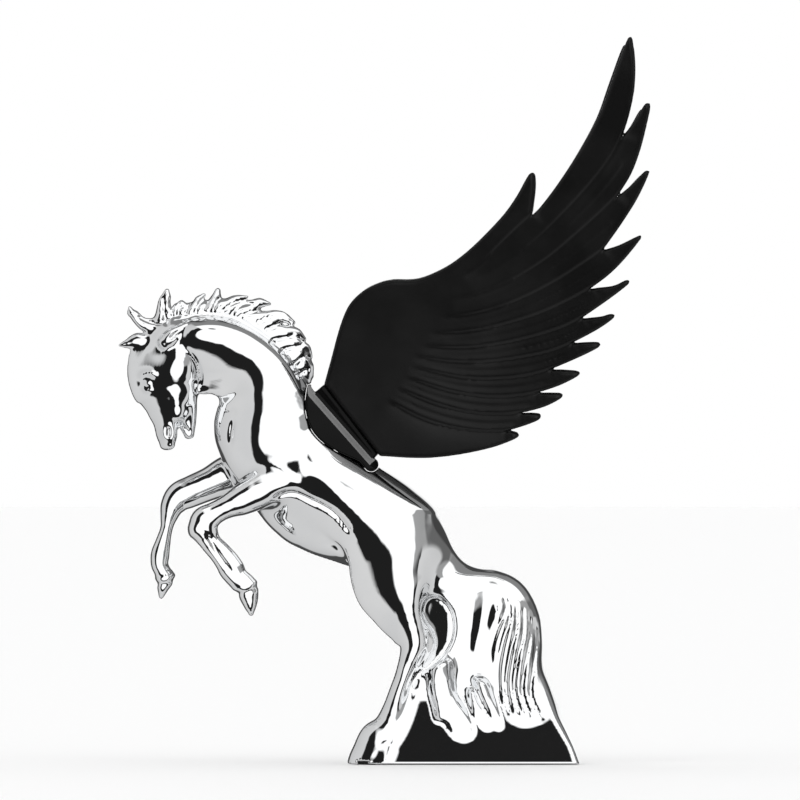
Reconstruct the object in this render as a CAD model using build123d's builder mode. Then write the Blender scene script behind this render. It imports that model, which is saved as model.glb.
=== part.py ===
from build123d import *
import os
from math import cos, radians, sin

# Winged-horse hood ornament: a chromed zinc casting of a rearing horse on a flared foot, with a
# black plastic saddle on its back that holds two removable black wings.
# Millimetres. The horse faces -X, its left side is -Y, and +Z is up. The origin is the middle of
# the foot's underside, on the surface that the ornament stands on.

# ---------------------------------------------------------------- driving dimensions
FOOT_FRONT, FOOT_REAR = -29.6, 29.6  # ends of the flared foot along X
FOOT_HALF_WIDTH = 14.0
PAD_T = 1.0  # soft pad under the foot, the lowest piece
PAD_PROUD = 0.6  # how far the pad stands below the casting
PAD_FRONT, PAD_REAR, PAD_HALF_WIDTH = -28.2, 28.2, 12.6
PAD_PLAY = 0.1
PLATE_FRONT, PLATE_REAR, PLATE_HALF_WIDTH = -17.0, 24.4, 9.8
PLATE_T = 2.0  # steel plate that closes the foot
PLATE_Z = 2.1  # its underside
PLATE_GAP = 0.15  # play between plate and casting
NUT_SPACING = 20.0  # the two nuts that bolt the ornament down
NUT_CENTRE_X = 3.5
NUT_R, NUT_H, NUT_HOLE_R = 5.6, 6.0, 2.5  # M6; the hole is its minor radius
PLATE_HOLE_R = 3.3
PLATE_SCREW_R, PLATE_SCREW_HEAD_R, PLATE_SCREW_HEAD_H = 1.25, 2.2, 1.0
PLATE_SCREW_LENGTH = 7.0
PLATE_BOSS_R = 2.8
PLATE_SCREWS = [(-13.6, 6.4), (21.0, 6.4), (-13.6, -6.4), (21.0, -6.4)]
SCREW_PLAY = 0.05  # between a screw and its hole

LEG_Y = 8.0  # how far each leg stands from the middle plane
EAR_Y = 4.0

# The saddle's flat top, seen from the side, and everything measured along and off it.
TOP_FRONT, TOP_REAR = Vector(-39.8, 0, 98.2), Vector(-24.6, 0, 81.0)
SADDLE_HALF_WIDTH = 8.8
SADDLE_BEVEL = 1.1
SADDLE_DEPTH = 6.4  # top to underside
SEAL_T = 0.8
SADDLE_PROFILE = [(-12.4, -1.0), (-11.4, 0.0), (11.5, 0.0), (13.9, -1.2), (13.9, -3.0),
                  (10.2, -6.4), (-8.6, -6.4)]
ROOT_Y = 4.5  # middle of each wing socket, from the middle plane
WING_LEAN = 18.0  # degrees out of the upright plane, at the root
COLLAR_H, COLLAR_LENGTH, COLLAR_W = 3.6, 21.4, 5.0
TENON_T, TENON_LENGTH, TENON_DEPTH = 2.4, 16.0, 6.0
TENON_PLAY = 0.12
WING_T, WING_TIP_T = 3.4, 1.8
WING_REACH, WING_CURVE = 150.0, 13.6  # along the root direction, and sideways off it
SADDLE_SCREW_R, SADDLE_SCREW_HEAD_R, SADDLE_SCREW_HEAD_H = 1.0, 1.6, 1.2
SADDLE_SCREW_LENGTH, SADDLE_SCREW_S = 14.0, 6.0
WASHER_R, WASHER_T = 1.7, 0.4

os.makedirs("parts", exist_ok=True)


def save(piece, label):
    """Label a finished piece and write its STEP file."""
    piece.part.label = label
    export_step(piece.part, f"parts/{label}.step")


# ---------------------------------------------------------------- helpers
def cross_plane(upper, lower, y=0.0):
    """Plane across a limb whose outline passes through two (x, z) points; x_dir points at upper."""
    (ux, uz), (lx, lz) = upper, lower
    up = Vector(ux - lx, 0, uz - lz).normalized()
    return Plane(origin=((ux + lx) / 2, y, (uz + lz) / 2), x_dir=up, z_dir=up.cross(Vector(0, 1, 0)))


def half_depth(upper, lower):
    """Half the distance between two (x, z) points."""
    return Vector(upper[0] - lower[0], 0, upper[1] - lower[1]).length / 2


def limb(stations, y=0.0, grow=0.0, turn=0.0):
    """Loft ovals through stations of (upper point, lower point, half width); turn moves the seam."""
    sections = []
    for upper, lower, half_width in stations:
        depth, width = half_depth(upper, lower) + grow, half_width + grow
        turns = [radians(turn + 45 * k) for k in range(8)]
        with BuildSketch(cross_plane(upper, lower, y)) as section:
            with BuildLine():
                Spline(*[(depth * cos(t), width * sin(t)) for t in turns], periodic=True)
            make_face()
        sections.append(section.sketch)
    return loft(sections, mode=Mode.PRIVATE)


def shifted(stations, dx):
    """The same stations moved along X."""
    return [((a + dx, b), (c + dx, d), w) for (a, b), (c, d), w in stations]


# ---------------------------------------------------------------- the horse's outlines
# Trunk and neck: crest or back point, throat or belly point, half width.
TRUNK = [
    ((-6.5, 59.0), (-12.0, 51.0), 6.0),
    ((-11.5, 69.0), (-24.0, 49.5), 12.0),
    ((-19.5, 75.0), (-31.0, 52.5), 12.6),
    ((-27.0, 80.0), (-42.0, 57.4), 12.2),
    ((-35.5, 86.0), (-54.0, 66.0), 11.5),
    ((-40.3, 92.5), (-60.0, 73.5), 10.4),
    ((-43.3, 100.5), (-63.6, 83.5), 8.2),
    ((-50.0, 110.0), (-64.2, 91.0), 6.4),
    ((-60.0, 116.8), (-67.0, 95.9), 5.4),
    ((-71.5, 118.0), (-70.8, 99.5), 4.4),
]
# Head, from poll to lips: brow or nose point, jaw point, half width.
HEAD = [
    ((-79.0, 117.2), (-66.0, 112.5), 3.0),
    ((-85.5, 111.8), (-70.6, 107.0), 4.6),
    ((-88.3, 105.5), (-70.6, 102.0), 5.0),
    ((-86.9, 98.6), (-70.2, 96.3), 4.6),
    ((-82.6, 92.4), (-70.3, 91.3), 3.5),
    ((-81.2, 86.5), (-70.9, 86.6), 3.0),
    ((-80.0, 83.2), (-74.6, 83.2), 2.0),
]
NEAR_FORELEG = [
    ((-49.0, 80.0), (-44.0, 70.5), 4.5),
    ((-55.0, 76.3), (-52.5, 68.0), 4.3),
    ((-65.0, 70.5), (-61.0, 65.0), 3.5),
    ((-71.0, 65.8), (-65.6, 63.4), 3.2),
    ((-72.2, 60.2), (-65.2, 60.9), 3.2),
    ((-67.0, 54.0), (-61.6, 57.2), 2.4),
    ((-64.2, 49.2), (-57.6, 53.0), 2.4),
    ((-61.8, 47.0), (-55.6, 50.1), 2.6),
    ((-60.0, 45.2), (-54.2, 47.0), 2.7),
    ((-58.2, 41.4), (-54.8, 41.8), 2.4),
    ((-56.8, 39.1), (-55.4, 39.3), 1.2),
]
FAR_FORELEG = [
    ((-55.0, 82.5), (-52.0, 72.0), 4.5),
    ((-66.0, 80.4), (-61.0, 71.5), 4.2),
    ((-71.0, 77.1), (-67.5, 69.2), 3.6),
    ((-76.8, 73.6), (-72.6, 67.4), 3.2),
    ((-79.3, 68.6), (-74.9, 65.0), 3.0),
    ((-80.1, 62.3), (-76.7, 61.6), 2.1),
    ((-82.2, 56.4), (-77.4, 57.0), 2.2),
    ((-82.7, 53.0), (-77.7, 52.6), 2.4),
    ((-81.7, 49.6), (-76.4, 49.6), 2.6),
    ((-80.9, 45.6), (-77.7, 46.0), 2.2),
    ((-80.4, 43.6), (-79.2, 43.8), 1.0),
]
HIND_LEG = [
    ((-27.0, 68.0), (-11.0, 61.5), 2.6),
    ((-30.0, 57.0), (-9.5, 49.0), 5.0),
    ((-29.0, 47.6), (-11.5, 42.5), 4.4),
    ((-23.0, 38.8), (-11.5, 37.0), 3.6),
    ((-18.6, 32.8), (-8.6, 33.0), 3.4),
    ((-17.6, 28.0), (-10.6, 27.6), 2.9),
    ((-20.5, 20.0), (-14.0, 20.6), 2.7),
    ((-23.8, 12.2), (-16.6, 12.4), 3.0),
    ((-26.8, 9.2), (-17.6, 8.8), 3.4),
    ((-30.2, 1.4), (-20.0, 1.4), 4.2),
    ((-30.2, PAD_PROUD), (-20.0, PAD_PROUD), 4.2),
]
FAR_HIND_SHIFT = 4.6  # the far hind leg stands a little further back
# Tail, from dock to where it joins the flare: outer point, inner point, half width.
TAIL = [
    ((-9.5, 61.0), (-13.5, 54.0), 3.2),
    ((-3.5, 55.8), (-6.0, 46.0), 4.0),
    ((3.0, 51.7), (0.0, 42.0), 4.4),
    ((10.5, 50.0), (3.5, 38.0), 4.8),
    ((16.4, 45.2), (4.5, 34.0), 5.2),
    ((19.2, 38.5), (5.0, 30.0), 5.5),
    ((19.8, 28.0), (6.0, 25.0), 5.8),
    ((20.4, 19.5), (7.5, 17.0), 5.8),
]
# The flare between the hind legs and the tail: height, front, rear, half width.
FLARE = [
    (PAD_PROUD, FOOT_FRONT, FOOT_REAR, FOOT_HALF_WIDTH),
    (5.0, FOOT_FRONT + 5.6, 27.8, 12.8),
    (12.0, -19.0, 24.4, 10.4),
    (20.0, -14.5, 21.0, 8.4),
    (30.0, -11.0, 17.0, 6.8),
    (40.0, -9.5, 12.0, 5.6),
    (50.0, -9.5, 3.0, 4.6),
]
MANE = [
    ((-39.9, 103.0), (-46.0, 101.5), 1.6),
    ((-41.5, 110.5), (-50.0, 105.0), 2.0),
    ((-47.0, 118.0), (-54.0, 108.0), 2.2),
    ((-54.0, 122.5), (-58.0, 110.0), 2.3),
    ((-64.0, 124.6), (-64.5, 111.0), 2.3),
    ((-72.0, 122.8), (-71.5, 111.0), 2.2),
    ((-79.5, 123.0), (-77.0, 110.5), 1.8),
    ((-88.5, 119.5), (-82.0, 108.0), 1.0),
]
FORELOCK = [
    ((-80.0, 117.0), (-77.0, 112.0), 1.6),
    ((-87.0, 113.6), (-84.0, 109.5), 1.3),
    ((-90.8, 109.9), (-90.0, 109.2), 0.5),
]
EAR = [
    ((-77.6, 112.6), (-75.0, 110.2), 1.3),
    ((-75.9, 114.3), (-73.4, 112.3), 1.2),
    ((-73.6, 115.6), (-72.8, 114.9), 0.5),
]


WING_OUTLINE = [
    (-38.5, 94.0), (-37.0, 99.0), (-35.0, 106.2), (-32.6, 115.0), (-30.2, 120.6), (-26.6, 124.2),
    (-22.6, 126.2), (-19.0, 127.0), (-14.6, 127.0), (-10.6, 127.8), (-5.0, 130.4), (-0.2, 133.8),
    (4.6, 138.2), (10.2, 144.2), (13.8, 149.4), (16.2, 153.8), (17.4, 154.8), (18.2, 153.8),
    (18.2, 150.2), (17.4, 143.8), (19.8, 146.2), (24.6, 152.6), (29.8, 160.6), (35.0, 170.2),
    (38.2, 179.0), (41.4, 187.8), (42.6, 190.0), (43.4, 189.0), (44.0, 183.0), (43.8, 176.6),
    (42.6, 170.2), (40.8, 164.2), (43.8, 167.8), (46.2, 171.8), (47.2, 172.8), (48.0, 171.8),
    (47.0, 167.0), (45.4, 160.6), (43.0, 154.2), (39.4, 148.4), (43.0, 151.4), (47.0, 155.0),
    (47.8, 154.4), (44.6, 147.8), (40.6, 141.4), (35.8, 134.6), (39.8, 135.8), (45.4, 138.2),
    (45.8, 137.6), (41.4, 132.2), (37.4, 128.2), (32.6, 124.6), (38.2, 125.2), (42.2, 126.6),
    (42.4, 125.8), (37.4, 121.8), (30.2, 116.8), (35.0, 117.2), (38.4, 117.7), (38.6, 116.8),
    (34.2, 113.8), (27.8, 110.4), (34.8, 110.4), (34.8, 109.4), (29.4, 106.6), (22.4, 103.6),
    (29.6, 103.0), (29.4, 102.0), (24.6, 99.4), (18.6, 97.4), (25.2, 97.2), (24.8, 96.0),
    (20.6, 93.8), (14.6, 92.2), (19.6, 91.8), (19.4, 90.6), (15.8, 89.0), (10.6, 87.4),
    (13.6, 87.0), (13.4, 85.6), (7.8, 83.4), (-0.2, 81.6), (-8.2, 80.6), (-15.4, 80.6),
    (-22.6, 81.0), (-27.0, 80.0),
]

# ---------------------------------------------------------------- frames on the saddle
along = (TOP_REAR - TOP_FRONT).normalized()
off = Vector(0, 1, 0).cross(along) * -1  # out of the horse's back
middle = (TOP_FRONT + TOP_REAR) / 2
top_plane = Plane(origin=middle, x_dir=along, z_dir=off)
side_plane = Plane(origin=middle, x_dir=along, z_dir=along.cross(off))  # sketches (along, off)


def root_plane(side):
    """Plane across a wing socket: x runs along the back, z out of the socket."""
    out = off * cos(radians(WING_LEAN)) + Vector(0, side, 0) * sin(radians(WING_LEAN))
    return Plane(origin=middle + Vector(0, side * ROOT_Y, 0), x_dir=along, z_dir=out)


# ---------------------------------------------------------------- horse casting
with BuildPart() as horse:
    # trunk first, then what grows out of it
    for stations, y in [(TRUNK, 0), (MANE, 0), (HEAD, 0), (FORELOCK, 0), (TAIL, 0)]:
        add(limb(stations, y))
    for height, front, rear, half_width in FLARE:
        with BuildSketch(Plane.XY.offset(height)):
            with Locations(((front + rear) / 2, 0)):
                RectangleRounded(rear - front, 2 * half_width, 0.8 * half_width)
    loft()
    for stations, y in [(shifted(HIND_LEG, FAR_HIND_SHIFT), LEG_Y), (HIND_LEG, -LEG_Y),
                        (NEAR_FORELEG, -LEG_Y), (FAR_FORELEG, LEG_Y), (EAR, -EAR_Y), (EAR, EAR_Y)]:
        add(limb(stations, y))
    # a flat seat across the back for the saddle and its seal
    with BuildSketch(side_plane):
        with BuildLine():
            Polyline((-14.5, 8.0), (-13.2, 0.0), (-12.6, -1.4), (-8.9, -SADDLE_DEPTH - SEAL_T),
                     (10.6, -SADDLE_DEPTH - SEAL_T), (14.2, -3.2), (14.2, 0.0), (16.0, 8.0), close=True)
        make_face()
    extrude(amount=16, both=True, mode=Mode.SUBTRACT)
    with BuildSketch(top_plane):
        with Locations((-SADDLE_SCREW_S, 0), (SADDLE_SCREW_S, 0)):
            Circle(SADDLE_SCREW_R + SCREW_PLAY)
    extrude(amount=-SADDLE_SCREW_LENGTH - 2.0, mode=Mode.SUBTRACT)
    # the foot is hollow above its closing plate
    with BuildSketch(Plane.XY):
        with Locations(((PLATE_FRONT + PLATE_REAR) / 2, 0)):
            RectangleRounded(PLATE_REAR - PLATE_FRONT + 2 * PLATE_GAP, 2 * (PLATE_HALF_WIDTH + PLATE_GAP), 6)
    extrude(amount=PLATE_Z + PLATE_T, mode=Mode.SUBTRACT)
    with BuildSketch(Plane.XY.offset(PLATE_Z + PLATE_T)):
        with Locations((4.0, 0)):
            RectangleRounded(38.0, 17.0, 5)
    with BuildSketch(Plane.XY.offset(24.0)):
        with Locations((3.0, 0)):
            RectangleRounded(19.0, 8.4, 3.5)
    loft(mode=Mode.SUBTRACT)
    with BuildSketch(Plane.XY.offset(PLATE_Z + PLATE_T)):
        with Locations(*PLATE_SCREWS):
            Circle(PLATE_BOSS_R)
    extrude(amount=8.0)
    with BuildSketch(Plane.XY.offset(PLATE_Z + PLATE_T)):
        with Locations(*PLATE_SCREWS):
            Circle(PLATE_SCREW_R + SCREW_PLAY)
    extrude(amount=6.0, mode=Mode.SUBTRACT)
    # recess for the pad
    with BuildSketch(Plane.XY):
        with Locations(((PAD_FRONT + PAD_REAR) / 2, 0)):
            RectangleRounded(PAD_REAR - PAD_FRONT + 2 * PAD_PLAY, 2 * (PAD_HALF_WIDTH + PAD_PLAY), 10.0)
    extrude(amount=PAD_T, mode=Mode.SUBTRACT)
save(horse, "horse_casting")

# ---------------------------------------------------------------- foot: plate, nuts, screws, pad
with BuildPart() as base_plate:
    with BuildSketch(Plane.XY.offset(PLATE_Z)):
        with Locations(((PLATE_FRONT + PLATE_REAR) / 2, 0)):
            RectangleRounded(PLATE_REAR - PLATE_FRONT, 2 * PLATE_HALF_WIDTH, 5.85)
        with Locations(*PLATE_SCREWS):
            Circle(PLATE_SCREW_R + 0.2, mode=Mode.SUBTRACT)
        with Locations((NUT_CENTRE_X, 0)):
            with GridLocations(NUT_SPACING, 0, 2, 1):
                Circle(PLATE_HOLE_R, mode=Mode.SUBTRACT)
    extrude(amount=PLATE_T)
save(base_plate, "base_plate")

with BuildPart() as weld_nuts:
    with BuildSketch(Plane.XY.offset(PLATE_Z + PLATE_T)):
        with Locations((NUT_CENTRE_X, 0)):
            with GridLocations(NUT_SPACING, 0, 2, 1):
                RegularPolygon(NUT_R, 6)
                Circle(NUT_HOLE_R, mode=Mode.SUBTRACT)
    extrude(amount=NUT_H)
save(weld_nuts, "weld_nuts")

with BuildPart() as base_plate_screws:
    with BuildSketch(Plane.XY.offset(PLATE_Z)):
        with Locations(*PLATE_SCREWS):
            Circle(PLATE_SCREW_HEAD_R)
    extrude(amount=-PLATE_SCREW_HEAD_H)
    with BuildSketch(Plane.XY.offset(PLATE_Z)):
        with Locations(*PLATE_SCREWS):
            Circle(PLATE_SCREW_R)
    extrude(amount=PLATE_SCREW_LENGTH)
    with BuildSketch(Plane.XY.offset(PLATE_Z - PLATE_SCREW_HEAD_H)):
        with Locations(*PLATE_SCREWS):
            SlotOverall(2.6, 0.5)
            SlotOverall(2.6, 0.5, rotation=90)
    extrude(amount=0.7, mode=Mode.SUBTRACT)
save(base_plate_screws, "base_plate_screws")

with BuildPart() as base_pad:
    with BuildSketch(Plane.XY):
        with Locations(((PAD_FRONT + PAD_REAR) / 2, 0)):
            RectangleRounded(PAD_REAR - PAD_FRONT, 2 * PAD_HALF_WIDTH, 9.9)
        with Locations((NUT_CENTRE_X, 0)):
            with GridLocations(NUT_SPACING, 0, 2, 1):
                Circle(PLATE_HOLE_R, mode=Mode.SUBTRACT)
    extrude(amount=PAD_T)
save(base_pad, "base_pad")

# ---------------------------------------------------------------- saddle
with BuildPart() as saddle:
    with BuildSketch(side_plane):
        with BuildLine():
            Polyline(*SADDLE_PROFILE, close=True)
        make_face()
    extrude(amount=SADDLE_HALF_WIDTH, both=True)
    rim = saddle.faces().sort_by(Axis(middle, off))[-1]
    chamfer(rim.edges().filter_by(Axis(middle, along)), SADDLE_BEVEL)
    for side in (-1, 1):
        with BuildSketch(root_plane(side).offset(-2.5)):
            RectangleRounded(COLLAR_LENGTH, COLLAR_W, 1.2)
        extrude(amount=2.5 + COLLAR_H)
    for side in (-1, 1):
        with BuildSketch(root_plane(side).offset(COLLAR_H - TENON_DEPTH - 0.4)):
            RectangleRounded(TENON_LENGTH + 2 * TENON_PLAY, TENON_T + 2 * TENON_PLAY, 0.6)
        extrude(amount=TENON_DEPTH + 1.0, mode=Mode.SUBTRACT)
    with BuildSketch(top_plane):
        with Locations((-SADDLE_SCREW_S, 0), (SADDLE_SCREW_S, 0)):
            Circle(SADDLE_SCREW_R + SCREW_PLAY)
    extrude(amount=-SADDLE_DEPTH - 1, mode=Mode.SUBTRACT)
save(saddle, "wing_saddle")

with BuildPart() as seal:
    with BuildSketch(top_plane.offset(-SADDLE_DEPTH - SEAL_T)):
        with Locations((1.0, 0)):
            RectangleRounded(18.4, 2 * SADDLE_HALF_WIDTH - 3.0, 2.0)
        with Locations((-SADDLE_SCREW_S, 0), (SADDLE_SCREW_S, 0)):
            Circle(SADDLE_SCREW_R + 0.2, mode=Mode.SUBTRACT)
    extrude(amount=SEAL_T)
save(seal, "saddle_seal")

with BuildPart() as saddle_washers:
    with BuildSketch(top_plane):
        with Locations((-SADDLE_SCREW_S, 0), (SADDLE_SCREW_S, 0)):
            Circle(WASHER_R)
            Circle(SADDLE_SCREW_R + 0.15, mode=Mode.SUBTRACT)
    extrude(amount=WASHER_T)
save(saddle_washers, "saddle_washers")

with BuildPart() as saddle_screws:
    with BuildSketch(top_plane.offset(WASHER_T)):
        with Locations((-SADDLE_SCREW_S, 0), (SADDLE_SCREW_S, 0)):
            Circle(SADDLE_SCREW_HEAD_R)
    extrude(amount=SADDLE_SCREW_HEAD_H)
    with BuildSketch(top_plane.offset(WASHER_T)):
        with Locations((-SADDLE_SCREW_S, 0), (SADDLE_SCREW_S, 0)):
            Circle(SADDLE_SCREW_R)
    extrude(amount=-SADDLE_SCREW_LENGTH)
    with BuildSketch(top_plane.offset(WASHER_T + SADDLE_SCREW_HEAD_H)):
        with Locations((-SADDLE_SCREW_S, 0), (SADDLE_SCREW_S, 0)):
            RegularPolygon(0.95, 6)
    extrude(amount=-0.7, mode=Mode.SUBTRACT)
save(saddle_screws, "saddle_screws")


# ---------------------------------------------------------------- wings
for side, name in ((-1, "left_wing"), (1, "right_wing")):
    root = root_plane(side)
    out = root.y_dir * side
    with BuildPart() as wing:
        # a leaning, outward-curving blade, thinner towards the tips
        with BuildSketch(Plane(origin=root.origin, x_dir=out, z_dir=out.cross(root.z_dir))):
            with BuildLine():
                inner = Bezier((-WING_T / 2, 0), (-WING_T / 2, WING_REACH / 2),
                               (WING_CURVE - WING_TIP_T / 2, WING_REACH))
                outer = Bezier((WING_T / 2, 0), (WING_T / 2, WING_REACH / 2),
                               (WING_CURVE + WING_TIP_T / 2, WING_REACH))
                Line(inner @ 0, outer @ 0)
                Line(inner @ 1, outer @ 1)
            make_face()
        extrude(amount=90, both=True)
        with BuildSketch(Plane.XZ):
            with BuildLine():
                Polyline(*WING_OUTLINE, close=True)
            make_face()
        extrude(amount=90, both=True, mode=Mode.INTERSECT)
        # shoulder on the collar
        with BuildSketch(root.offset(COLLAR_H)):
            Rectangle(200, 40)
        extrude(amount=-40, mode=Mode.SUBTRACT)
        with BuildSketch(root.offset(COLLAR_H - TENON_DEPTH)):
            RectangleRounded(TENON_LENGTH, TENON_T, 0.5)
        extrude(amount=TENON_DEPTH + 0.5)
    save(wing, name)
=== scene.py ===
"""Winged-horse hood ornament: the horse, its saddle and its wings as finely shaped meshes around the CAD frame.

The horse faces -X, its left side is -Y, and +Z is up. Shapes are laid out in millimetres as signed
fields on grids (negative inside), turned into meshes, and scaled to metres.
"""

import math

import bpy
import numpy as np
import openvdb
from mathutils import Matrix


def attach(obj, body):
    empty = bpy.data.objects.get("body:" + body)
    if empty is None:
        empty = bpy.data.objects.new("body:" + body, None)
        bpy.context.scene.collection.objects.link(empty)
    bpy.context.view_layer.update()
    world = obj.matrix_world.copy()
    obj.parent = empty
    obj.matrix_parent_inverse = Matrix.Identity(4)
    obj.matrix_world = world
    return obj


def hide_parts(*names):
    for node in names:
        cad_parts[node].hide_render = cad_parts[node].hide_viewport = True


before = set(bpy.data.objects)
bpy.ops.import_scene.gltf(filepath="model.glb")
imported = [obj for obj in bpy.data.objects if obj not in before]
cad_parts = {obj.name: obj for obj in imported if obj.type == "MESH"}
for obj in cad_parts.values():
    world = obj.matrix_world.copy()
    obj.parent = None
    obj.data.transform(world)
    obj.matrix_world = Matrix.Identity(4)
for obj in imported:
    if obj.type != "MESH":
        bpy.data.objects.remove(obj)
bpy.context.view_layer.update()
MM = 0.001
FAR_AWAY = 40.0  # mm, the field's value in empty space

# ---------------------------------------------------------------- fields


def soft_min(a, b, blend):
    """The smaller of two fields, the inner corner rounded over about blend mm."""
    h = np.clip(0.5 + 0.5 * (a - b) / blend, 0, 1)
    return a + (b - a) * h - blend * h * (1 - h)


def soft_max(a, b, blend):
    """The larger of two fields, the corner rounded over about blend mm."""
    h = np.clip(0.5 + 0.5 * (a - b) / blend, 0, 1)
    return b + (a - b) * h + blend * h * (1 - h)


def smooth_rows(rows, per):
    """Catmull-Rom rows through the given rows, per to each span."""
    rows = np.array(rows, float)
    padded = np.vstack([2 * rows[0] - rows[1], rows, 2 * rows[-1] - rows[-2]])
    out = []
    for i in range(len(rows) - 1):
        a, b, c, d = padded[i : i + 4]
        for t in np.arange(per) / per:
            out.append(
                0.5 * (2 * b + (c - a) * t + (2 * a - 5 * b + 4 * c - d) * t**2 + (3 * b - a - 3 * c + d) * t**3)
            )
    out.append(rows[-1])
    return np.array(out)


def along_line(px, pz, line):
    """For each point of a plane: place along a polyline, signed distance off it, and run past its ends."""
    place = np.zeros(px.shape)
    off = np.full(px.shape, 1e6)
    past = np.zeros(px.shape)
    nearest = np.full(px.shape, 1e12)
    last = len(line) - 2
    for j in range(last + 1):
        ex, ez = line[j + 1] - line[j]
        length = math.hypot(ex, ez)
        if length < 1e-9:
            continue
        qx, qz = px - line[j, 0], pz - line[j, 1]
        run = (qx * ex + qz * ez) / length
        perp = (qx * -ez + qz * ex) / length
        held = np.clip(run, 0, length)
        gap = run - held
        squared = perp**2 + gap**2
        closer = squared < nearest
        at_end = ((j == 0) & (gap < 0)) | ((j == last) & (gap > 0))
        nearest = np.where(closer, squared, nearest)
        place = np.where(closer, j + held / length, place)
        signed = np.where(perp < 0, -1.0, 1.0) * np.sqrt(squared)
        off = np.where(closer, np.where(at_end, perp, signed), off)
        past = np.where(closer, np.where(at_end, np.abs(gap), 0.0), past)
    return place, off, past


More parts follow.
